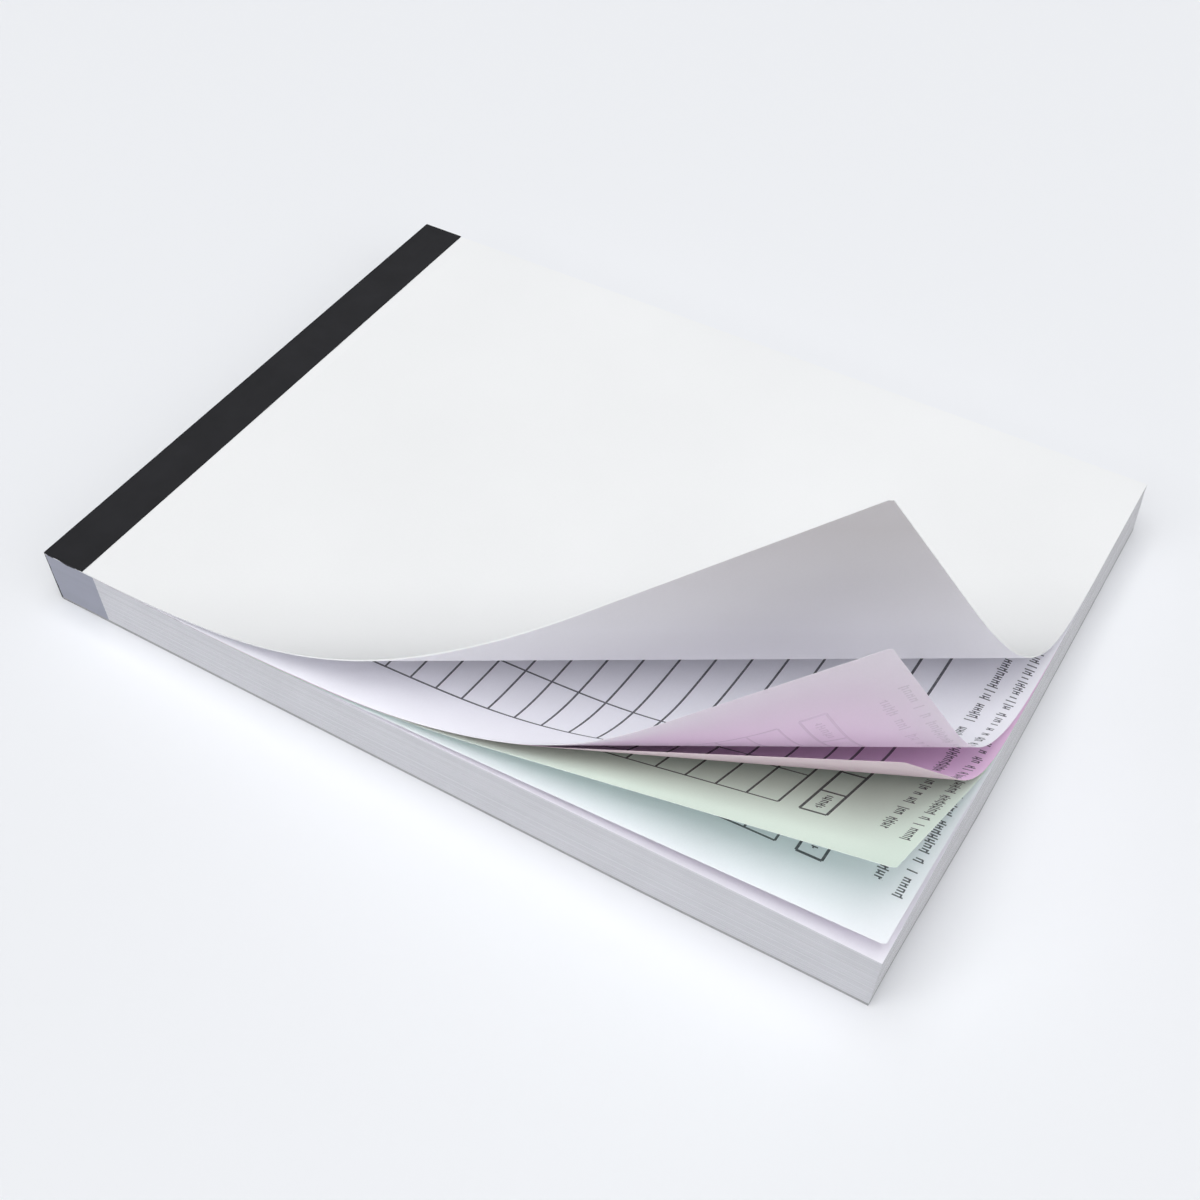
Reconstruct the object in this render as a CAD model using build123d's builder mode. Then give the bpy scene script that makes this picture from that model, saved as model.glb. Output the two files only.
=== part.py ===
"""Head-bound pad of carbonless receipt sets, with the near corner of its cover and first set curled up.

Millimetres. +X runs from the spine to the fore edge, +Y from the near edge to the far edge, +Z up.
The origin is on the surface that the pad lies on, under the middle of the pad.
"""

import os
from math import ceil, cos, radians, sin, tan

from build123d import *

# Pad outline, an A5 sheet bound along one short side
pad_length = 210.0
pad_width = 148.0

# Paper, card and board
ply_thickness = 0.072
sets_per_pack = 7
pack_count = 7
set_air = 0.01
cover_thickness = 0.3
board_thickness = 0.8

# Binding
tape_thickness = 0.25
tape_flange = 12.0
tape_corner_radius = 0.2
glue_thickness = 0.15
perforation_inset = 15.0

# Wire stitches through the stubs
stitch_count = 2
stitch_pitch = 80.0
stitch_inset = 6.5
stitch_crown = 12.0
wire_width = 0.6
wire_thickness = 0.25
wire_clearance = 0.05
clinch_length = 4.0

# Curl of each lifted sheet: how far past the perforation its near edge starts to lift, the slant of the
# straight lines in the bend, then the bends in order, each by its length and its turn
cover_lift_start = 3.7
cover_slant = 30.6
cover_lead_length = 15.9
cover_lead_turn = 14.0
cover_roll_length = 30.5
cover_roll_turn = 49.8
cover_lip_length = 18.7
cover_lip_turn = 21.9

top_copy_lift_start = 24.7
top_copy_slant = 29.9
top_copy_lead_length = 22.4
top_copy_lead_turn = 10.0
top_copy_roll_length = 21.4
top_copy_roll_turn = 30.7
top_copy_lip_length = 17.3
top_copy_lip_turn = 47.2

pink_lift_start = 26.9
pink_slant = 24.6
pink_lead_length = 16.9
pink_lead_turn = 10.8
pink_roll_length = 14.9
pink_roll_turn = 29.3
pink_lip_length = 10.1
pink_lip_turn = 18.1

green_lift_start = 38.8
green_slant = 24.4
green_lead_length = 16.9
green_lead_turn = 19.1
green_roll_length = 17.0
green_roll_turn = 10.2

last_copy_lift_start = 54.0
last_copy_slant = 25.3
last_copy_lead_length = 23.7
last_copy_lead_turn = 5.6
last_copy_roll_length = 23.9
last_copy_roll_turn = 6.1

# The curl is folded from flat strips, none turning more than this, and its tip is blunted by this much
strip_turn = 3.0
tip_blunt = 0.4

# Bends of each lifted sheet, and the plies of a set from the top down
cover_bends = (
    (cover_lead_length, cover_lead_turn),
    (cover_roll_length, cover_roll_turn),
    (cover_lip_length, cover_lip_turn),
)
top_copy_bends = (
    (top_copy_lead_length, top_copy_lead_turn),
    (top_copy_roll_length, top_copy_roll_turn),
    (top_copy_lip_length, top_copy_lip_turn),
)
pink_bends = (
    (pink_lead_length, pink_lead_turn),
    (pink_roll_length, pink_roll_turn),
    (pink_lip_length, pink_lip_turn),
)
green_bends = ((green_lead_length, green_lead_turn), (green_roll_length, green_roll_turn))
last_copy_bends = ((last_copy_lead_length, last_copy_lead_turn), (last_copy_roll_length, last_copy_roll_turn))
first_set = (
    ("white_top", top_copy_lift_start, top_copy_slant, top_copy_bends),
    ("pink", pink_lift_start, pink_slant, pink_bends),
    ("green", green_lift_start, green_slant, green_bends),
    ("white_last", last_copy_lift_start, last_copy_slant, last_copy_bends),
)

# Edges of the pad
spine = -pad_length / 2
fore_edge = pad_length / 2
near_edge = -pad_width / 2
far_edge = pad_width / 2
stub_start = spine + tape_thickness + glue_thickness
perforation = spine + perforation_inset

# Heights, from the board up
set_thickness = len(first_set) * ply_thickness
pack_thickness = sets_per_pack * set_thickness
block_top = board_thickness + pack_count * pack_thickness
cover_bottom = block_top + set_thickness
cover_top = cover_bottom + cover_thickness
tape_top = cover_top + tape_thickness
spine_height = cover_top - tape_thickness

# Stitches
stitch_x = spine + stitch_inset
leg_spread = stitch_crown - wire_width
hole_width = wire_width + 2 * wire_clearance
wire_bottom = tape_thickness
wire_top = cover_top

os.makedirs("parts", exist_ok=True)


def save(part, name):
    part.label = name
    export_step(part, f"parts/{name}.step")


def stitch_places():
    return [Location((stitch_x, (i - (stitch_count - 1) / 2) * stitch_pitch)) for i in range(stitch_count)]


def leg_places():
    legs = []
    for place in stitch_places():
        for side in (-1, 1):
            legs.append(place * Location((0, side * leg_spread / 2)))
    return legs


def bend_stations(reach, bends):
    """Each ruling of a curl: flat distance travelled, plan distance, height and slope in degrees."""
    travelled, plan, height, slope = 0.0, 0.0, 0.0, 0.0
    stations = [(travelled, plan, height, slope)]
    for length, turn in bends:
        strips = ceil(turn / strip_turn)
        radius = length / radians(turn)
        for _ in range(strips):
            next_slope = slope + turn / strips
            travelled += length / strips
            plan += radius * (sin(radians(next_slope)) - sin(radians(slope)))
            height += radius * (cos(radians(slope)) - cos(radians(next_slope)))
            slope = next_slope
            stations.append((travelled, plan, height, slope))
    tail = reach - tip_blunt - travelled
    plan += tail * cos(radians(slope))
    height += tail * sin(radians(slope))
    stations.append((travelled + tail, plan, height, slope))
    return stations


def curled_sheet(bottom, thickness, lift_start, slant, bends):
    """A sheet from the perforation to the fore edge whose near corner is rolled up about slanting lines."""
    start_x = perforation + lift_start
    reach = (fore_edge - start_x) * sin(radians(slant))
    start_y = near_edge + reach / cos(radians(slant))
    ruling = Vector(cos(radians(slant)), sin(radians(slant)), 0)
    to_corner = Vector(sin(radians(slant)), -cos(radians(slant)), 0)
    up = Vector(0, 0, 1)
    corner = Vector(fore_edge, near_edge, bottom)
    with BuildPart() as sheet:
        with BuildSketch(Plane.XY.offset(bottom)):
            with BuildLine():
                Polyline(
                    (perforation, near_edge),
                    (start_x, near_edge),
                    (fore_edge, start_y),
                    (fore_edge, far_edge),
                    (perforation, far_edge),
                    close=True,
                )
            make_face()
        extrude(amount=thickness)
        for travelled, plan, height, slope in bend_stations(reach, bends):
            left = reach - travelled
            near_end = left / tan(radians(slant))
            fore_end = left * tan(radians(slant))
            foot = corner + to_corner * (plan - reach) + up * height - ruling * near_end
            heading = to_corner * cos(radians(slope)) + up * sin(radians(slope))
            with BuildSketch(Plane(origin=foot, x_dir=ruling, z_dir=heading)):
                Rectangle(near_end + fore_end, thickness, align=(Align.MIN, Align.MIN))
        loft(ruled=True)
    return sheet.part


def set_levels(pack):
    """Bottom heights of the sets in a pack, counted from the top pack down."""
    pack_bottom = block_top - (pack + 1) * pack_thickness
    return [pack_bottom + i * set_thickness for i in range(sets_per_pack)]


def stub_sheets(levels, thickness):
    """Stubs left in the binding behind the perforation, pierced by the stitches."""
    with BuildPart() as stubs:
        with BuildSketch(*[Plane.XY.offset(level) for level in levels]):
            with Locations((stub_start, 0)):
                Rectangle(perforation - stub_start, pad_width, align=(Align.MIN, Align.CENTER))
            with Locations(*leg_places()):
                Rectangle(hole_width, hole_width, mode=Mode.SUBTRACT)
        extrude(amount=thickness)
    return stubs.part


# Back board, stepped so that the tape lies flush with its underside, with troughs for the clinched wire ends
with BuildPart() as back_board:
    with BuildSketch():
        with Locations((stub_start, 0)):
            Rectangle(fore_edge - stub_start, pad_width, align=(Align.MIN, Align.CENTER))
    extrude(amount=board_thickness)
    with BuildSketch():
        with Locations((stub_start, 0)):
            Rectangle(spine + tape_flange - stub_start, pad_width, align=(Align.MIN, Align.CENTER))
    extrude(amount=tape_thickness, mode=Mode.SUBTRACT)
    with BuildSketch(Plane.XY.offset(wire_bottom)):
        with Locations(*stitch_places()):
            Rectangle(hole_width, stitch_crown + 2 * wire_clearance)
    extrude(amount=wire_thickness + wire_clearance, mode=Mode.SUBTRACT)
    with BuildSketch(Plane.XY.offset(wire_bottom)):
        with Locations(*leg_places()):
            Rectangle(hole_width, hole_width)
    extrude(amount=board_thickness - wire_bottom, mode=Mode.SUBTRACT)
save(back_board.part, "back_board")

# Tape folded round the spine, with a flange on the cover and one under the board
with BuildPart() as binding_tape:
    with BuildSketch(Plane.XZ):
        with Locations((spine, 0)):
            Rectangle(tape_flange, tape_top, align=(Align.MIN, Align.MIN))
        with Locations((spine + tape_thickness, tape_thickness)):
            Rectangle(tape_flange, spine_height, align=(Align.MIN, Align.MIN), mode=Mode.SUBTRACT)
    extrude(amount=pad_width / 2, both=True)
    fillet(binding_tape.edges().filter_by(Axis.Y).group_by(Axis.X)[0], radius=tape_corner_radius)
save(binding_tape.part, "binding_tape")

# Film of padding glue between the stub ends and the tape
with BuildPart() as spine_glue:
    with BuildSketch(Plane.XY.offset(tape_thickness)):
        with Locations((spine + tape_thickness, 0)):
            Rectangle(glue_thickness, pad_width, align=(Align.MIN, Align.CENTER))
    extrude(amount=spine_height)
save(spine_glue.part, "spine_glue")

# Flat wire stitches: a crown let into the cover margin, two legs, and ends clinched inwards under the board
with BuildPart() as wire_stitches:
    with BuildSketch(Plane.XY.offset(wire_top - wire_thickness)):
        with Locations(*stitch_places()):
            Rectangle(wire_width, stitch_crown)
    extrude(amount=wire_thickness)
    with BuildSketch(Plane.XY.offset(wire_bottom)):
        with Locations(*leg_places()):
            Rectangle(wire_width, wire_width)
    extrude(amount=wire_top - wire_bottom)
    with BuildSketch(Plane.XY.offset(wire_bottom)):
        for place in stitch_places():
            for side in (-1, 1):
                with Locations(place * Location((0, side * (stitch_crown - clinch_length) / 2))):
                    Rectangle(wire_width, clinch_length)
    extrude(amount=wire_thickness)
save(wire_stitches.part, "wire_stitches")

# Margin of the cover card that stays under the tape, slotted for the stitch crowns
with BuildPart() as cover_margin:
    with BuildSketch(Plane.XY.offset(cover_bottom)):
        with Locations((stub_start, 0)):
            Rectangle(perforation - stub_start, pad_width, align=(Align.MIN, Align.CENTER))
        with Locations(*stitch_places()):
            Rectangle(hole_width, stitch_crown + 2 * wire_clearance, mode=Mode.SUBTRACT)
    extrude(amount=cover_thickness)
save(cover_margin.part, "cover_margin")

# Front cover, creased where it leaves the margin
save(curled_sheet(cover_bottom, cover_thickness, cover_lift_start, cover_slant, cover_bends), "front_cover")

# First set, from the top: white, pink, green, white, each ply with its stub
for place, (name, lift_start, slant, bends) in enumerate(first_set):
    ply_bottom = cover_bottom - (place + 1) * ply_thickness
    save(curled_sheet(ply_bottom, ply_thickness, lift_start, slant, bends), f"{name}_copy")
    save(stub_sheets([ply_bottom], ply_thickness), f"{name}_stub")

# The rest of the block, in packs of flat sets, each pack with its stubs
for pack in range(pack_count):
    with BuildPart() as leaf_pack:
        with BuildSketch(*[Plane.XY.offset(level) for level in set_levels(pack)]):
            with Locations((perforation, 0)):
                Rectangle(fore_edge - perforation, pad_width, align=(Align.MIN, Align.CENTER))
        extrude(amount=set_thickness - set_air)
    save(leaf_pack.part, f"leaf_pack_{pack + 1}")
    save(stub_sheets(set_levels(pack), set_thickness - set_air), f"stub_pack_{pack + 1}")
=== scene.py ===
import random
from math import cos, radians, sin

import bmesh
import bpy
from mathutils import Matrix, Vector


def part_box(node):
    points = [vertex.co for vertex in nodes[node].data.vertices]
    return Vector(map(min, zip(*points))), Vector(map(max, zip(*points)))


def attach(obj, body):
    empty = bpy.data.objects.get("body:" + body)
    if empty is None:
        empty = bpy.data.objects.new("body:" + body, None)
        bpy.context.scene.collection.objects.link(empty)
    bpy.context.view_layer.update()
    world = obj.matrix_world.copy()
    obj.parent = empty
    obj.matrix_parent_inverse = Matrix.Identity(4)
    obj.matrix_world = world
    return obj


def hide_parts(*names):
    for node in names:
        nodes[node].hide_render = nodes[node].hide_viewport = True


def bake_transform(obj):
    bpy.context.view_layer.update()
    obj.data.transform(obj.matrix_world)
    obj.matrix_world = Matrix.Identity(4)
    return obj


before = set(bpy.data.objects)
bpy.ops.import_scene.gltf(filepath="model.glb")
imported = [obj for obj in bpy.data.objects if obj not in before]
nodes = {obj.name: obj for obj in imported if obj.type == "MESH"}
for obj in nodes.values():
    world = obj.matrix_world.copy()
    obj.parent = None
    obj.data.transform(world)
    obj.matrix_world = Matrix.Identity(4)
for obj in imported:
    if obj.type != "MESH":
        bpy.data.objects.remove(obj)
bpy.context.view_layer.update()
scene = bpy.context.scene
scene.view_settings.view_transform = "Standard"
mm = 0.001
hair = 1e-6  # two places closer than this are the same

# where the pad's edges and levels are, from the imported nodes
boardLow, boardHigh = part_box("back_board")
tapeLow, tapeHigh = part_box("binding_tape")
spine = tapeLow.x
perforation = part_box("cover_margin")[1].x
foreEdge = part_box("front_cover")[1].x
nearEdge = boardLow.y
farEdge = boardHigh.y
nearCorner = Vector((foreEdge, nearEdge, 0))


# node helpers
def feed(tree, value, socket):
    if isinstance(value, bpy.types.NodeSocket):
        tree.links.new(value, socket)
    else:
        socket.default_value = value


def mathNode(tree, operation, *values):
    node = tree.nodes.new("ShaderNodeMath")
    node.operation = operation
    for socket, value in zip(node.inputs, values):
        feed(tree, value, socket)
    return node.outputs[0]


def plus(tree, first, second):
    return mathNode(tree, "ADD", first, second)


def times(tree, first, second):
    return mathNode(tree, "MULTIPLY", first, second)


def within(tree, value, middle, reach):
    return mathNode(tree, "COMPARE", value, middle, reach)


def mixNode(tree, factor, first, second):
    node = tree.nodes.new("ShaderNodeMix")
    node.data_type = "RGBA"
    feed(tree, factor, node.inputs[0])
    feed(tree, first, node.inputs[6])
    feed(tree, second, node.inputs[7])
    return node.outputs[2]


def rangeNode(tree, value, source, target):
    node = tree.nodes.new("ShaderNodeMapRange")
    for socket, item in zip(node.inputs, (value, *source, *target)):
        feed(tree, item, socket)
    return node.outputs[0]


def noiseNode(tree, vector, size, detail, rough):
    node = tree.nodes.new("ShaderNodeTexNoise")
    feed(tree, vector, node.inputs["Vector"])
    node.inputs["Scale"].default_value = size
    node.inputs["Detail"].default_value = detail
    node.inputs["Roughness"].default_value = rough
    return node.outputs["Fac"]


def stretched(tree, vector, scale):
    node = tree.nodes.new("ShaderNodeMapping")
    feed(tree, vector, node.inputs["Vector"])
    node.inputs["Scale"].default_value = scale
    return node.outputs["Vector"]


def axesOf(tree, vector):
    node = tree.nodes.new("ShaderNodeSeparateXYZ")
    feed(tree, vector, node.inputs[0])
    return node.outputs


def flatPlace(tree, first, second):
    node = tree.nodes.new("ShaderNodeCombineXYZ")
    feed(tree, first, node.inputs[0])
    feed(tree, second, node.inputs[1])
    return node.outputs[0]


def objectPlace(tree):
    return tree.nodes.new("ShaderNodeTexCoord").outputs["Object"]


def pagePlace(tree):
    node = tree.nodes.new("ShaderNodeUVMap")
    node.uv_map = "page"
    return node.outputs["UV"]


def bumpNode(tree, height, strength, distance):
    node = tree.nodes.new("ShaderNodeBump")
    node.inputs["Strength"].default_value = strength
    node.inputs["Distance"].default_value = distance
    feed(tree, height, node.inputs["Height"])
    return node.outputs["Normal"]


def tones(tree, first, *others):
    total = rangeNode(tree, *first)
    for part in others:
        total = plus(tree, total, rangeNode(tree, *part))
    return total


def scaled(tree, colour, tone):
    node = tree.nodes.new("ShaderNodeVectorMath")
    node.operation = "SCALE"
    feed(tree, colour if isinstance(colour, bpy.types.NodeSocket) else colour[:3], node.inputs[0])
    feed(tree, tone, node.inputs["Scale"])
    return node.outputs[0]


def newFinish(name):
    material = bpy.data.materials.new(name)
    material.use_nodes = True
    return material, material.node_tree, material.node_tree.nodes["Principled BSDF"]


def dress(tree, shader, colour, grain, look, relief=None):
    feed(tree, colour, shader.inputs["Base Color"])
    feed(tree, rangeNode(tree, grain, look["grainSpan"], look["roughness"]), shader.inputs["Roughness"])
    shader.inputs["Specular IOR Level"].default_value = look["specular"]
    strength, depth = look["bump"]
    height = grain if relief is None else relief
    feed(tree, bumpNode(tree, height, strength, depth * mm), shader.inputs["Normal"])


def letLightThrough(shader, weight, reach):
    shader.inputs["Subsurface Weight"].default_value = weight
    shader.inputs["Subsurface Radius"].default_value = (1, 1, 1)
    shader.inputs["Subsurface Scale"].default_value = reach * mm


midSpan = (0.3, 0.7)  # the part of a noise's range that most of it lies in

# printed form: places in millimetres from the spine (down the page) and from the near edge (across it)
form = {
    "tableTop": 74.8, "rowPitch": 6.67, "rowCount": 16, "left": 12.0, "right": 136.0,
    "columns": (26.0, 96.0, 116.0),
    # boxes: top, bottom, left, right, dividers
    "signBox": (186.0, 191.5, 12.0, 84.0, (21.5, 31.5)),
    "sumBox": (186.0, 191.5, 96.0, 136.0, (116.0,)),
    "numberBox": (21.0, 30.0, 100.0, 136.0, ()),
    # lines to write on: place, start, end
    "fieldLines": ((42.0, 32.0, 136.0), (51.5, 32.0, 136.0), (61.0, 32.0, 136.0)),
    "lineWidth": 0.5, "thinWidth": 0.42, "boxWidth": 0.6,
    # greeked writing: middle down the page, height, start, end, letter pitch
    "writing": (
        (26.0, 4.2, 12.0, 62.0, 3.0),
        (40.6, 2.2, 12.0, 28.0, 1.6), (50.1, 2.2, 12.0, 26.0, 1.6), (59.6, 2.2, 12.0, 29.0, 1.6),
        (78.1, 2.2, 14.0, 23.0, 1.6), (78.1, 2.2, 46.0, 74.0, 1.6), (78.1, 2.2, 100.0, 112.0, 1.6),
        (78.1, 2.2, 120.0, 132.0, 1.6),
        (188.8, 2.0, 14.0, 20.0, 1.5), (188.8, 2.0, 100.0, 112.0, 1.5),
        (202.2, 2.4, 13.5, 118.0, 1.45), (207.2, 2.2, 10.5, 108.0, 1.4),
    ),
}
# greeked letters: strokes placed in a letter's cell, reaches as parts of its height, and chances
letters = {
    "stem": 0.2, "bowl": 0.68, "strokeReach": 0.12, "bar": 0.43, "barReach": 0.3,
    "lowReach": 0.34, "tallReach": 0.5, "barHeight": 0.08, "narrowChance": 0.25, "gapChance": 0.17,
}


def letterRow(tree, down, across, middle, height, start, end, pitch):
    low, tall = letters["lowReach"] * height, letters["tallReach"] * height
    step = mathNode(tree, "DIVIDE", across, pitch)
    inCell = mathNode(tree, "FRACT", step)
    draw = tree.nodes.new("ShaderNodeTexWhiteNoise")
    draw.noise_dimensions = "2D"
    feed(tree, flatPlace(tree, mathNode(tree, "FLOOR", step), middle), draw.inputs["Vector"])
    split = tree.nodes.new("ShaderNodeSeparateColor")
    feed(tree, draw.outputs["Color"], split.inputs[0])
    wideDraw, barDraw, tallDraw = split.outputs
    stemReach = rangeNode(tree, mathNode(tree, "ROUND", tallDraw), (0, 1), (low, tall))
    stem = within(tree, inCell, letters["stem"], letters["strokeReach"])
    stem = times(tree, stem, within(tree, down, middle, stemReach))
    bowl = within(tree, inCell, letters["bowl"], letters["strokeReach"])
    bowl = times(tree, bowl, within(tree, down, middle, low))
    barPlace = rangeNode(tree, barDraw, (0, 1), (middle - low, middle + low))
    bar = within(tree, inCell, letters["bar"], letters["barReach"])
    bar = times(tree, bar, within(tree, down, barPlace, letters["barHeight"] * height))
    wide = mathNode(tree, "GREATER_THAN", wideDraw, letters["narrowChance"])
    rest = times(tree, mathNode(tree, "MAXIMUM", bowl, bar), wide)
    inWord = mathNode(tree, "GREATER_THAN", barDraw, letters["gapChance"])
    inRow = within(tree, across, (start + end) / 2, (end - start) / 2)
    return times(tree, mathNode(tree, "MAXIMUM", stem, rest), times(tree, inWord, inRow))


def rule(tree, along, across, place, start, end, width):
    line = within(tree, across, place, width / 2)
    return times(tree, line, within(tree, along, (start + end) / 2, (end - start) / 2))


def makeForm():
    group = bpy.data.node_groups.new("printedForm", "ShaderNodeTree")
    group.interface.new_socket("Place", in_out="INPUT", socket_type="NodeSocketVector")
    group.interface.new_socket("Ink", in_out="OUTPUT", socket_type="NodeSocketFloat")
    page = axesOf(group, group.nodes.new("NodeGroupInput").outputs[0])
    down, across = times(group, page[0], 1 / mm), times(group, page[1], 1 / mm)
    top, left, right = form["tableTop"], form["left"], form["right"]
    bottom = top + form["rowPitch"] * form["rowCount"]
    thick, thin, boxLine = form["lineWidth"], form["thinWidth"], form["boxWidth"]
    # ruled rows from the table's top line to its last
    wave = mathNode(group, "PINGPONG", mathNode(group, "SUBTRACT", down, top), form["rowPitch"] / 2)
    rows = within(group, wave, 0.0, thick / 2)
    rows = times(group, rows, within(group, down, (top + bottom) / 2, (bottom - top + thick) / 2))
    rows = times(group, rows, within(group, across, (left + right) / 2, (right - left) / 2))
    marks = [rows]
    for place in (left, right) + form["columns"]:
        marks.append(rule(group, down, across, place, top, bottom, thin))
    for boxTop, boxEnd, boxLeft, boxRight, dividers in (form["signBox"], form["sumBox"], form["numberBox"]):
        for place in (boxTop, boxEnd):
            marks.append(rule(group, across, down, place, boxLeft, boxRight, boxLine))
        for place in (boxLeft, boxRight) + dividers:
            marks.append(rule(group, down, across, place, boxTop, boxEnd, boxLine))
    for place, start, end in form["fieldLines"]:
        marks.append(rule(group, across, down, place, start, end, thin))
    for row in form["writing"]:
        marks.append(letterRow(group, down, across, *row))
    ink = marks[0]
    for mark in marks[1:]:
        ink = mathNode(group, "MAXIMUM", ink, mark)
    feed(group, ink, group.nodes.new("NodeGroupOutput").inputs[0])
    return group


formGroup = makeForm()

# paper: coated carbonless stock with faint cloudiness and fibre, printed with the form or showing it through
paper = {
    "cloud": (38.0, 3.0, 0.55), "cloudTone": (0.975, 1.015),  # a noise is its scale, detail and roughness
    "fibre": (2600.0, 4.0, 0.6), "fibreStretch": (1.0, 0.45, 1.0), "fibreTone": (-0.012, 0.012),
    "inkSpan": (0.25, 0.75), "inkWorn": 0.86,
    "grainSpan": (0.2, 0.8), "roughness": (0.62, 0.78), "specular": 0.28,
    "bump": (0.12, 0.04),  # strength, depth in millimetres
}


def paperFinish(name, colour, inkColour, inkStrength, through=None):
    material, tree, shader = newFinish(name)
    place = pagePlace(tree)
    cloud = noiseNode(tree, place, *paper["cloud"])
    fibre = noiseNode(tree, stretched(tree, place, paper["fibreStretch"]), *paper["fibre"])
    tone = tones(tree, (cloud, midSpan, paper["cloudTone"]), (fibre, midSpan, paper["fibreTone"]))
    printed = tree.nodes.new("ShaderNodeGroup")
    printed.node_tree = formGroup
    feed(tree, place, printed.inputs[0])
    patchy = rangeNode(tree, fibre, paper["inkSpan"], (inkStrength * paper["inkWorn"], inkStrength))
    mask = times(tree, printed.outputs[0], patchy)
    dress(tree, shader, mixNode(tree, mask, scaled(tree, colour, tone), inkColour), fibre, paper)
    if through:
        letLightThrough(shader, *through)
    return material


# tape fringe: dark fibres that the trimming knife drags from the tape over the cut ends beside it
fringe = {
    "ragged": (190.0, 4.0, 0.6), "colour": (0.016, 0.016, 0.019, 1),
    "underSpan": (0.42, 0.7), "underReach": (0.28 * mm, 1.25 * mm),
    "besideSpan": (0.35, 0.7), "besideReach": (0.28 * mm, 0.75 * mm),
}


def tapeFringe(tree, colour):
    place = objectPlace(tree)
    x, _, z = axesOf(tree, place)
    ragged = noiseNode(tree, place, *fringe["ragged"])
    under = rangeNode(tree, ragged, fringe["underSpan"], fringe["underReach"])
    beside = rangeNode(tree, ragged, fringe["besideSpan"], fringe["besideReach"])
    top = mathNode(tree, "GREATER_THAN", z, mathNode(tree, "SUBTRACT", tapeHigh.z, under))
    flange = mathNode(tree, "LESS_THAN", x, tapeHigh.x)
    back = mathNode(tree, "LESS_THAN", x, plus(tree, spine, beside))
    mask = mathNode(tree, "MAXIMUM", times(tree, top, flange), back)
    return mixNode(tree, mask, colour, fringe["colour"])


# painted shade and light on the cover's back: the card is darker and duller from the near fore corner's tip, and
# lighter and more lavender towards the fold, standing in for the light that bounces up from the sheets and passes
# through the card near the fold
coverSlant = 30.6  # the cover's curl turns about lines at this angle
tipShade = {"fade": (8 * mm, 38 * mm)}


def shadeTowardTip(tree, place, colour, dull):
    x, y, _ = axesOf(tree, place)
    slant = radians(coverSlant)
    fromFore = times(tree, mathNode(tree, "SUBTRACT", foreEdge - spine, x), sin(slant))
    fromTip = plus(tree, fromFore, times(tree, y, cos(slant)))
    return mixNode(tree, rangeNode(tree, fromTip, tipShade["fade"], (0, 1)), dull, colour)


# cover: smooth white card, a little cloudy, with a fine tooth
card = {
    "cloud": (22.0, 3.0, 0.5), "cloudTone": (0.985, 1.01),
    "tooth": (1900.0, 5.0, 0.62), "toothTone": (-0.01, 0.01),
    "grainSpan": (0.2, 0.8), "roughness": (0.5, 0.66), "specular": 0.3, "bump": (0.1, 0.05),
}


def cardFinish(name, colour, usePage, through=None, dull=None):
    material, tree, shader = newFinish(name)
    place = pagePlace(tree) if usePage else objectPlace(tree)
    cloud = noiseNode(tree, place, *card["cloud"])
    tooth = noiseNode(tree, place, *card["tooth"])
    tone = tones(tree, (cloud, midSpan, card["cloudTone"]), (tooth, midSpan, card["toothTone"]))
    # with dull given, the colour fades to it towards the corner's tip: painted shade
    shade = scaled(tree, shadeTowardTip(tree, place, colour, dull) if dull else colour, tone)
    dress(tree, shader, shade if usePage else tapeFringe(tree, shade), tooth, card)
    if through:
        letLightThrough(shader, *through)
    return material


# cut edges of the stacked sets: one tinted line for each ply, with longer streaks from the guillotine
edge = {
    "streak": (1.0, 4.0, 0.65), "streakStretch": (9.0, 2600.0, 1.0),
    "streakSpan": (0.25, 0.75), "streakTone": (-0.04, 0.035),
    "long": (1.0, 2.0, 0.5), "longStretch": (5.0, 420.0, 1.0), "longTone": (-0.025, 0.025),
    "blotch": (60.0, 3.0, 0.6), "blotchTone": (0.965, 1.02),
    "setStep": 0.288,
    # plies: where in a set's height the line starts, and its tint
    "plies": (
        (0.0, (1, 1, 1, 1)), (0.25, (0.97, 1.04, 0.97, 1)), (0.5, (1.03, 0.94, 1.0, 1)), (0.75, (1, 1, 1.01, 1)),
    ),
    "grainSpan": (0.2, 0.8), "roughness": (0.75, 0.92), "specular": 0.2, "bump": (0.25, 0.1),
}


def edgeFinish(name, colour, usePage):
    material, tree, shader = newFinish(name)
    if usePage:
        along, height, _ = axesOf(tree, pagePlace(tree))
    else:
        x, y, height = axesOf(tree, objectPlace(tree))
        along = plus(tree, x, y)
    spot = flatPlace(tree, along, height)
    streak = noiseNode(tree, stretched(tree, spot, edge["streakStretch"]), *edge["streak"])
    long = noiseNode(tree, stretched(tree, spot, edge["longStretch"]), *edge["long"])
    blotch = noiseNode(tree, spot, *edge["blotch"])
    tone = tones(
        tree, (streak, edge["streakSpan"], edge["streakTone"]),
        (long, midSpan, edge["longTone"]), (blotch, midSpan, edge["blotchTone"]),
    )
    level = mathNode(tree, "SUBTRACT", height, boardHigh.z)
    inSet = mathNode(tree, "FRACT", mathNode(tree, "DIVIDE", level, edge["setStep"] * mm))
    ramp = tree.nodes.new("ShaderNodeValToRGB")
    ramp.color_ramp.interpolation = "CONSTANT"
    stops = ramp.color_ramp.elements
    stops[1].position = edge["plies"][1][0]
    for position, _ in edge["plies"][2:]:
        stops.new(position)
    for stop, (_, tint) in zip(stops, edge["plies"]):
        stop.color = [c * t for c, t in zip(colour, tint)]
    feed(tree, inSet, ramp.inputs[0])
    shade = scaled(tree, ramp.outputs[0], tone)
    dress(tree, shader, shade if usePage else tapeFringe(tree, shade), streak, edge)
    return material


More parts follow.
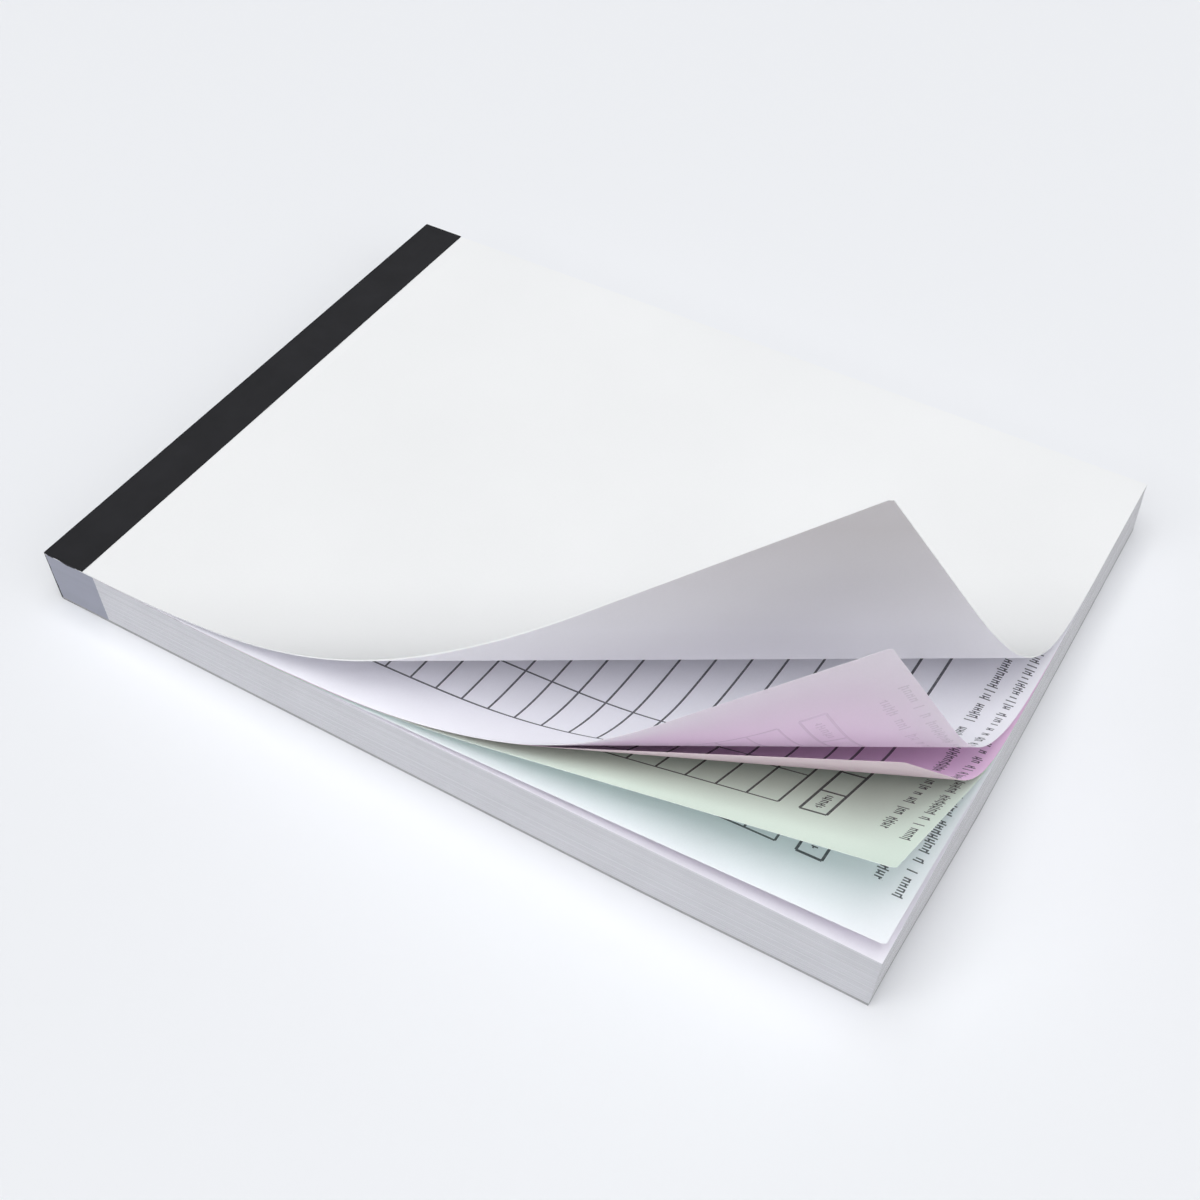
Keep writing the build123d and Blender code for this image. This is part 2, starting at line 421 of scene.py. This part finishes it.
# finishes: light through a sheet is its weight and its reach in millimetres
inkBlack = (0.018, 0.018, 0.026, 1)
whiteTop = paperFinish("whitePaperPrinted", (0.915, 0.915, 0.965, 1), inkBlack, 0.94)
# white back: tinted pink as painted bounce light from the pink sheet beneath; its faint ink is the print showing
# through
whiteUnder = paperFinish("whitePaperBackPinkBounce", (0.955, 0.865, 0.985, 1), (0.3, 0.28, 0.33, 1), 0.3, (0.65, 0.6))
pinkTop = paperFinish("pinkPaperPrinted", (0.93, 0.685, 0.9, 1), inkBlack, 0.9)
# pink back: the pink paper made darker and greyer than its face, painted shade for the curled band
pinkUnder = paperFinish("pinkPaperBackPaintedShade", (0.74, 0.55, 0.60, 1), (0.4, 0.2, 0.35, 1), 0.14, (0.7, 0.6))
greenTop = paperFinish("greenPaperPrinted", (0.785, 0.935, 0.835, 1), inkBlack, 0.94)
greenUnder = paperFinish("greenPaperBack", (0.67, 0.89, 0.80, 1), (0.3, 0.36, 0.32, 1), 0.14, (1.0, 0.9))
cardWhite = (0.885, 0.895, 0.905, 1)
coverCard = cardFinish("coverCard", cardWhite, True)
# cover back: a lighter lavender near the fold and a darker dull tip, painted light and shade
coverBack = cardFinish("coverCardBackPaintedShade", (0.94, 0.918, 0.98, 1), True, (0.25, 9.0), (0.66, 0.625, 0.64, 1))
marginCard = cardFinish("marginCard", cardWhite, False)
blockEdge = edgeFinish("cutLeafEdges", (0.735, 0.742, 0.778, 1), True)
# the fore edge faces get a darker copy of the cut-edge finish: painted shade for the side turned from the light
foreEdgeShade = edgeFinish("cutForeEdgesPaintedShade", (0.635, 0.641, 0.655, 1), True)
stubEdge = edgeFinish("pressedStubEdges", (0.42, 0.435, 0.515, 1), False)
print("paper and card finishes made")

# sheets: a flat grid, its near fore corner rolled about slanting lines, then given its thickness less a hair of air
paperThickness = 0.066
sheets = {
    "front_cover": {
        "piece": "frontCoverSheet", "slot": "cover_card", "thickness": 0.3,
        "liftStart": 3.7, "slant": coverSlant,
        "bends": ((15.9, 14), (30.5, 49.8), (18.7, 21.9)),  # length in millimetres, turn in degrees
        "finishes": (coverCard, coverBack, coverCard),  # top, underside, rim
    },
    "white_top_copy": {
        "piece": "whiteTopSheet", "slot": "white_paper", "thickness": paperThickness,
        "liftStart": 24.7, "slant": 29.9, "bends": ((22.4, 10), (21.4, 30.7), (17.3, 47.2)),
        "finishes": (whiteTop, whiteUnder, whiteUnder),
    },
    "pink_copy": {
        "piece": "pinkSheet", "slot": "pink_paper", "thickness": paperThickness,
        "liftStart": 26.9, "slant": 24.6, "bends": ((16.9, 10.8), (14.9, 29.3), (10.1, 18.1)),
        "finishes": (pinkTop, pinkUnder, pinkUnder),
    },
    "green_copy": {
        "piece": "greenSheet", "slot": "green_paper", "thickness": paperThickness,
        "liftStart": 38.8, "slant": 24.4, "bends": ((16.9, 19.1), (11, 10.4)),
        "finishes": (greenTop, greenUnder, greenUnder),
    },
    "white_last_copy": {
        "piece": "whiteLastSheet", "slot": "white_paper", "thickness": paperThickness,
        "liftStart": 38.8, "slant": 24.4, "bends": ((12, 8.4),),
        "finishes": (whiteTop, whiteUnder, whiteUnder),
    },
}
sheetGrid = {"xParts": 98, "yParts": 74, "tipBlunt": 0.4}
topIndex, underIndex, rimIndex, foreIndex = 0, 1, 2, 3  # places in a piece's list of finishes


def flatGrid(bm, xSpan, ySpan, level, parts):
    made = bmesh.ops.create_grid(bm, x_segments=parts["xParts"], y_segments=parts["yParts"], size=0.5)["verts"]
    bmesh.ops.scale(bm, vec=(xSpan[1] - xSpan[0], ySpan[1] - ySpan[0], 1), verts=made)
    bmesh.ops.translate(bm, vec=(sum(xSpan) / 2, sum(ySpan) / 2, level), verts=made)


def layPage(faces, page):
    for face in faces:
        for loop in face.loops:
            loop[page].uv = (loop.vert.co.x - spine, loop.vert.co.y - nearEdge)


def bendProfile(past, bends):
    plan = height = slope = 0.0
    for length, turn in bends:
        part = min(past, length * mm)
        radius = length * mm / radians(turn)
        turned = slope + part / radius
        plan += radius * (sin(turned) - sin(slope))
        height += radius * (cos(slope) - cos(turned))
        slope = turned
        past -= part
    return plan + past * cos(slope), height + past * sin(slope)


def cornerAxes(shape):
    slant = radians(shape["slant"])
    return Vector((sin(slant), -cos(slant), 0)), Vector((cos(slant), sin(slant), 0))


def rollCorner(verts, shape, share=None):
    toCorner, ruling = cornerAxes(shape)
    reach = (foreEdge - perforation - shape["liftStart"] * mm) * toCorner.x
    for vert in verts:
        flat = vert.co - nearCorner
        past = flat.dot(toCorner) + reach
        if past > 0:
            plan, height = bendProfile(past, shape["bends"])
            if share:
                vert.co.z += height * share(vert.co.z)  # a swelling block only rises
            else:
                rolled = ruling * flat.dot(ruling) + toCorner * (plan - reach)
                vert.co = nearCorner + rolled + Vector((0, 0, flat.z + height))


def thicken(bm, faces, thickness):
    known = set(bm.faces)
    roots = set(v for f in faces for v in f.verts)
    bmesh.ops.solidify(bm, geom=faces, thickness=thickness)
    made = [f for f in bm.faces if f not in known]
    rims = [f for f in made if any(v in roots for v in f.verts)]
    backs = [f for f in made if not any(v in roots for v in f.verts)]
    return backs, rims


def sortFaces(tops, unders, rims):
    for face in tops:
        face.material_index = topIndex
        face.smooth = True
    for face in unders:
        face.material_index = underIndex
    for face in rims:
        face.material_index = rimIndex
        face.smooth = False
        for side in face.edges:
            side.smooth = False


def finishMesh(bm, name, finishes):
    mesh = bpy.data.meshes.new(name)
    bm.normal_update()
    bm.to_mesh(mesh)
    bm.free()
    for finish in finishes:
        mesh.materials.append(finish)
    piece = bpy.data.objects.new(name, mesh)
    scene.collection.objects.link(piece)
    return piece


def bendAtPerforation(piece):
    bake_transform(piece)


def makeSheet(node, shape):
    bm = bmesh.new()
    page = bm.loops.layers.uv.new("page")
    flatGrid(bm, (perforation, foreEdge), (nearEdge, farEdge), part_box(node)[0].z, sheetGrid)
    toCorner = cornerAxes(shape)[0]
    cut = nearCorner - toCorner * sheetGrid["tipBlunt"] * mm
    everything = bm.verts[:] + bm.edges[:] + bm.faces[:]
    bmesh.ops.bisect_plane(bm, geom=everything, plane_co=cut, plane_no=toCorner, clear_outer=True)
    unders = bm.faces[:]
    for face in unders:
        face.smooth = True
    layPage(unders, page)
    rollCorner(bm.verts, shape)
    bm.normal_update()
    tops, rims = thicken(bm, unders, -shape["thickness"] * mm)
    sortFaces(tops, unders, rims)
    bmesh.ops.recalc_face_normals(bm, faces=bm.faces[:])
    piece = finishMesh(bm, shape["piece"], shape["finishes"])
    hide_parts(node)
    return piece


for node, shape in sheets.items():
    piece = makeSheet(node, shape)
    if node == "front_cover":
        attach(piece, node)
    else:
        bendAtPerforation(piece)
print("cover and first set rolled")

# packs: flat sets cut by guillotine, each edge a hair short of the trim
packs = {
    "count": 7, "sets": 7, "setThickness": 0.278, "setStep": edge["setStep"], "xParts": 78, "yParts": 20,
    "stray": 0.05, "seed": 5,
}
looseCorner = {"liftStart": 41.0, "slant": 24.4, "bends": ((12, 4.4), (52.5, -3.4))}  # thumbed, so a little swollen
tuck = {"inX": 1.2, "inY": 0.5, "fade": 60.0, "cuts": 8}  # low in the stack the same corner lies a little back
packNumbers = range(1, packs["count"] + 1)
packTop = max(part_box(f"leaf_pack_{number}")[1].z for number in packNumbers)
chance = random.Random(packs["seed"])


def stackShare(height):
    return (height - boardHigh.z) / (packTop - boardHigh.z)


def nearness(distance):
    close = min(max(1 - distance / (tuck["fade"] * mm), 0), 1)
    return close * close * (3 - 2 * close)


def tuckCorner(verts):
    for vert in verts:
        near = nearness(foreEdge - vert.co.x) * nearness(vert.co.y - nearEdge)
        amount = near * (1 - stackShare(vert.co.z)) * mm
        vert.co.x -= tuck["inX"] * amount
        vert.co.y += tuck["inY"] * amount


def addSet(bm, page, level):
    short = [chance.random() * packs["stray"] * mm for _ in range(3)]
    earlier = set(bm.faces)
    flatGrid(bm, (perforation, foreEdge - short[0]), (nearEdge + short[1], farEdge - short[2]), level, packs)
    unders = [f for f in bm.faces if f not in earlier]
    layPage(unders, page)
    bm.normal_update()
    tops, rims = thicken(bm, unders, -packs["setThickness"] * mm)
    sortFaces(tops, unders, rims)
    for face in rims:
        # rims on the fore edge take the darker finish, painted shade
        if min(v.co.x for v in face.verts) > foreEdge - mm:
            face.material_index = foreIndex
        for loop in face.loops:
            loop[page].uv = (loop.vert.co.x + loop.vert.co.y, loop.vert.co.z)


def makePack(number):
    node = f"leaf_pack_{number}"
    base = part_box(node)[0].z
    bm = bmesh.new()
    page = bm.loops.layers.uv.new("page")
    for place in range(packs["sets"]):
        addSet(bm, page, base + place * packs["setStep"] * mm)
    tuckCorner(bm.verts)
    rollCorner(bm.verts, looseCorner, stackShare)
    bmesh.ops.recalc_face_normals(bm, faces=bm.faces[:])
    piece = finishMesh(bm, f"leafPack{number}", (whiteTop, whiteUnder, blockEdge, foreEdgeShade))
    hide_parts(node)
    bendAtPerforation(piece)


for number in packNumbers:
    makePack(number)
print("leaf packs stacked")

# tape: black cloth tape, fine weave, folded round the spine, its ends cut a little ragged
tape = {
    "parts": 74, "flange": 12.0, "thickness": 0.25, "foldRadius": 0.45, "foldParts": 4, "seed": 11,
    "ragged": 0.14, "raggedWaves": (1.1, 0.43), "edgeWander": 0.08, "edgeWave": 0.21, "edgeBand": 0.01,
}
tapeLook = {
    "colour": (0.0125, 0.0125, 0.0143), "threads": 14000.0,
    "cloud": (90.0, 3.0, 0.6), "cloudTone": (0.8, 1.2),
    "lint": (900.0, 3.0, 0.7), "lintSpan": (0.35, 0.75), "lintTone": (-0.1, 0.18),
    "grainSpan": (0.2, 0.8), "roughness": (0.55, 0.75), "specular": 0.12, "bump": (0.25, 0.03),
}


def tapeFinish():
    material, tree, shader = newFinish("blackTapeCloth")
    place = objectPlace(tree)
    x, y, z = axesOf(tree, place)
    warp = mathNode(tree, "SINE", times(tree, y, tapeLook["threads"]))
    weft = mathNode(tree, "SINE", times(tree, plus(tree, x, z), tapeLook["threads"]))
    cloud = noiseNode(tree, place, *tapeLook["cloud"])
    lint = noiseNode(tree, place, *tapeLook["lint"])
    tone = tones(
        tree, (cloud, midSpan, tapeLook["cloudTone"]), (lint, tapeLook["lintSpan"], tapeLook["lintTone"]),
    )
    dress(tree, shader, scaled(tree, tapeLook["colour"], tone), lint, tapeLook, times(tree, warp, weft))
    return material


def isFold(line):
    first, second = line.verts
    onSpine = all(abs(v.co.x - spine) < hair for v in line.verts)
    return onSpine and abs(first.co.z - second.co.z) < hair


def makeTape():
    bm = bmesh.new()
    flangeEnd = spine + tape["flange"] * mm
    path = [(flangeEnd, tapeLow.z), (spine, tapeLow.z), (spine, tapeHigh.z), (flangeEnd, tapeHigh.z)]
    line = [bm.verts.new((x, nearEdge, z)) for x, z in path]
    edges = [bm.edges.new(pair) for pair in zip(line, line[1:])]
    step = (farEdge - nearEdge) / tape["parts"]
    for _ in range(tape["parts"]):
        made = bmesh.ops.extrude_edge_only(bm, edges=edges)["geom"]
        edges = [g for g in made if isinstance(g, bmesh.types.BMEdge)]
        bmesh.ops.translate(bm, vec=(0, step, 0), verts=[g for g in made if isinstance(g, bmesh.types.BMVert)])
    bmesh.ops.bevel(
        bm, geom=[e for e in bm.edges if isFold(e)], offset=tape["foldRadius"] * mm, offset_type="OFFSET",
        affect="EDGES", segments=tape["foldParts"], profile=0.5, material=-1,
    )
    bmesh.ops.recalc_face_normals(bm, faces=bm.faces[:])
    highest = max(bm.faces, key=lambda f: f.calc_center_median().z)
    if highest.normal.z < 0:
        bmesh.ops.reverse_faces(bm, faces=bm.faces[:])
    bm.normal_update()
    thicken(bm, bm.faces[:], tape["thickness"] * mm)
    bmesh.ops.recalc_face_normals(bm, faces=bm.faces[:])
    chance = random.Random(tape["seed"])
    phase = [chance.uniform(-1, 1) for _ in range(3)]
    quick, slow = tape["raggedWaves"]
    for vert in bm.verts:
        girth = (vert.co.x + vert.co.z) / mm
        ragged = 0.5 + 0.5 * sin(girth * quick + phase[0]) * cos(girth * slow + phase[1])
        if abs(vert.co.y - nearEdge) < hair:
            vert.co.y += tape["ragged"] * mm * ragged
        elif abs(vert.co.y - farEdge) < hair:
            vert.co.y -= tape["ragged"] * mm * ragged
        if vert.co.x > flangeEnd - tape["edgeBand"] * mm:
            wander = 0.5 + 0.5 * sin(vert.co.y / mm * tape["edgeWave"] + phase[2])
            vert.co.x -= tape["edgeWander"] * mm * wander
    for face in bm.faces:
        face.smooth = False
    piece = finishMesh(bm, "spineTape", (tapeFinish(),))
    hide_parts("binding_tape")
    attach(piece, "binding")


makeTape()
print("tape folded round the spine")

# back board: its solid with the tucked corner, in flecked grey board
board = {
    "colour": (0.47, 0.47, 0.48), "fleck": (700.0, 4.0, 0.7), "fleckTone": (-0.12, 0.1),
    "cloud": (45.0, 3.0, 0.5), "cloudTone": (0.94, 1.04),
    "grainSpan": (0.2, 0.8), "roughness": (0.75, 0.95), "specular": 0.2, "bump": (0.3, 0.1),
}


def boardFinish():
    material, tree, shader = newFinish("greyBoard")
    place = objectPlace(tree)
    fleck = noiseNode(tree, place, *board["fleck"])
    cloud = noiseNode(tree, place, *board["cloud"])
    tone = tones(tree, (fleck, midSpan, board["fleckTone"]), (cloud, midSpan, board["cloudTone"]))
    dress(tree, shader, scaled(tree, board["colour"], tone), fleck, board)
    return material


def makeBoard():
    bm = bmesh.new()
    bm.from_mesh(nodes["back_board"].data)
    for part in range(1, tuck["cuts"]):
        reach = tuck["fade"] * mm * part / tuck["cuts"]
        for spot, way in (((foreEdge - reach, 0, 0), (1, 0, 0)), ((0, nearEdge + reach, 0), (0, 1, 0))):
            everything = bm.verts[:] + bm.edges[:] + bm.faces[:]
            bmesh.ops.bisect_plane(bm, geom=everything, plane_co=spot, plane_no=way)
    tuckCorner(bm.verts)
    for face in bm.faces:
        face.material_index = 0
        face.smooth = False
    piece = finishMesh(bm, "backBoard", (boardFinish(),))
    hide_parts("back_board")
    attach(piece, "binding")


# glue, wire, cover margin and stubs keep their solids
glue = {
    "brush": (800.0, 3.0, 0.6), "brushStretch": (1.0, 0.15, 1.0),
    "thin": (0.62, 0.6, 0.54, 1), "thick": (0.78, 0.77, 0.73, 1),
    "grainSpan": midSpan, "roughness": (0.3, 0.5), "specular": 0.5, "bump": (0.3, 0.1),
}
wire = {
    "drawn": (6000.0, 3.0, 0.6), "drawnStretch": (1.0, 0.06, 1.0),
    "dull": (0.5, 0.5, 0.5, 1), "bright": (0.68, 0.68, 0.67, 1),
    "grainSpan": midSpan, "roughness": (0.28, 0.42), "specular": 0.5, "bump": (0.2, 0.02),
}


def glueFinish():
    material, tree, shader = newFinish("paddingGlue")
    brush = noiseNode(tree, stretched(tree, objectPlace(tree), glue["brushStretch"]), *glue["brush"])
    film = mixNode(tree, brush, glue["thin"], glue["thick"])
    dress(tree, shader, tapeFringe(tree, film), brush, glue)
    return material


def wireFinish():
    material, tree, shader = newFinish("galvanisedWire")
    drawn = noiseNode(tree, stretched(tree, objectPlace(tree), wire["drawnStretch"]), *wire["drawn"])
    dress(tree, shader, mixNode(tree, drawn, wire["dull"], wire["bright"]), drawn, wire)
    shader.inputs["Metallic"].default_value = 1.0
    return material


def repaint(node, finish):
    slots = nodes[node].material_slots
    if not slots:
        nodes[node].data.materials.append(finish)
    for slot in slots:
        slot.material = finish


makeBoard()
repaint("spine_glue", glueFinish())
repaint("wire_stitches", wireFinish())
repaint("cover_margin", marginCard)
for number in packNumbers:
    repaint(f"stub_pack_{number}", stubEdge)
for node in ("white_top_stub", "pink_stub", "green_stub", "white_last_stub"):
    repaint(node, stubEdge)
print("board, glue, wire and stubs finished")

# floor and light, with lengths in metres
stage = {
    "floorColour": (0.872, 0.887, 0.917, 1), "floorSize": 3.0, "floorRoughness": 0.95, "floorSpecular": 0.1,
    "skyColour": (0.95, 0.965, 1.0, 1), "skyStrength": 0.05, "skySeen": 0.93,
    "lampDistance": 12.0, "lampSize": 10.5,
    # lamps: side of the pad that the lamp stands on, height as an angle, power
    "lamps": {"softTop": (0, 88, 1020.0), "softLeft": (-22, 50, 485.0), "softRight": (75, 40, 402.0)},
}


def wayTo(side, height):
    az, el = radians(side), radians(height)
    return Vector((sin(az) * cos(el), -cos(az) * cos(el), sin(el)))


def makeFloor():
    bm = bmesh.new()
    bmesh.ops.create_grid(bm, x_segments=1, y_segments=1, size=stage["floorSize"])
    material, _, shader = newFinish("studioFloorPaint")
    shader.inputs["Base Color"].default_value = stage["floorColour"]
    shader.inputs["Roughness"].default_value = stage["floorRoughness"]
    shader.inputs["Specular IOR Level"].default_value = stage["floorSpecular"]
    floor = finishMesh(bm, "studioFloor", (material,))


def makeSky():
    scene.world = bpy.data.worlds.new("studioSky")
    scene.world.use_nodes = True
    tree = scene.world.node_tree
    sky = tree.nodes["Background"]
    sky.inputs["Color"].default_value = stage["skyColour"]
    path = tree.nodes.new("ShaderNodeLightPath").outputs
    mirrored = mathNode(tree, "MAXIMUM", path["Is Glossy Ray"], path["Is Transmission Ray"])
    seen = mathNode(tree, "MAXIMUM", path["Is Camera Ray"], mirrored)
    strength = rangeNode(tree, seen, (0, 1), (stage["skyStrength"], stage["skySeen"]))
    feed(tree, strength, sky.inputs["Strength"])


def makeLamps():
    for name, (side, height, power) in stage["lamps"].items():
        lamp = bpy.data.lights.new(name, "AREA")
        lamp.shape = "SQUARE"
        lamp.size = stage["lampSize"]
        lamp.energy = power
        soft = bpy.data.objects.new(name, lamp)
        scene.collection.objects.link(soft)
        soft.location = wayTo(side, height) * stage["lampDistance"]
        soft.rotation_euler = soft.location.to_track_quat("Z", "Y").to_euler()


# camera: angles in degrees, lengths in millimetres, and focal length, centre and frame in the photograph's pixels
view = {
    "azimuth": 30.74, "elevation": 47.77, "roll": -0.39, "distance": 375.0, "target": (15.0, -1.9, 0.0),
    "focalPixels": 1591.0, "centre": (657.0, 592.0), "frame": 1200.0, "sensor": 36.0, "clipStart": 10.0,
}


def makeCamera():
    az, roll = radians(view["azimuth"]), radians(view["roll"])
    back = wayTo(view["azimuth"], view["elevation"])
    right = Vector((cos(az), sin(az), 0))
    up = back.cross(right)
    turnedRight = right * cos(roll) + up * sin(roll)
    turnedUp = up * cos(roll) - right * sin(roll)
    lens = bpy.data.cameras.new("photoCamera")
    lens.sensor_width = view["sensor"]
    lens.lens = view["focalPixels"] / view["frame"] * view["sensor"]
    lens.shift_x = (view["frame"] / 2 - view["centre"][0]) / view["frame"]
    lens.shift_y = (view["centre"][1] - view["frame"] / 2) / view["frame"]
    lens.clip_start = view["clipStart"] * mm
    camera = bpy.data.objects.new("photoCamera", lens)
    scene.collection.objects.link(camera)
    place = Vector(view["target"]) * mm + back * view["distance"] * mm
    axes = Matrix((turnedRight, turnedUp, back)).transposed().to_4x4()
    camera.matrix_world = Matrix.Translation(place) @ axes
    scene.camera = camera


makeFloor()
makeSky()
makeLamps()
makeCamera()
print("stage, light and camera set")
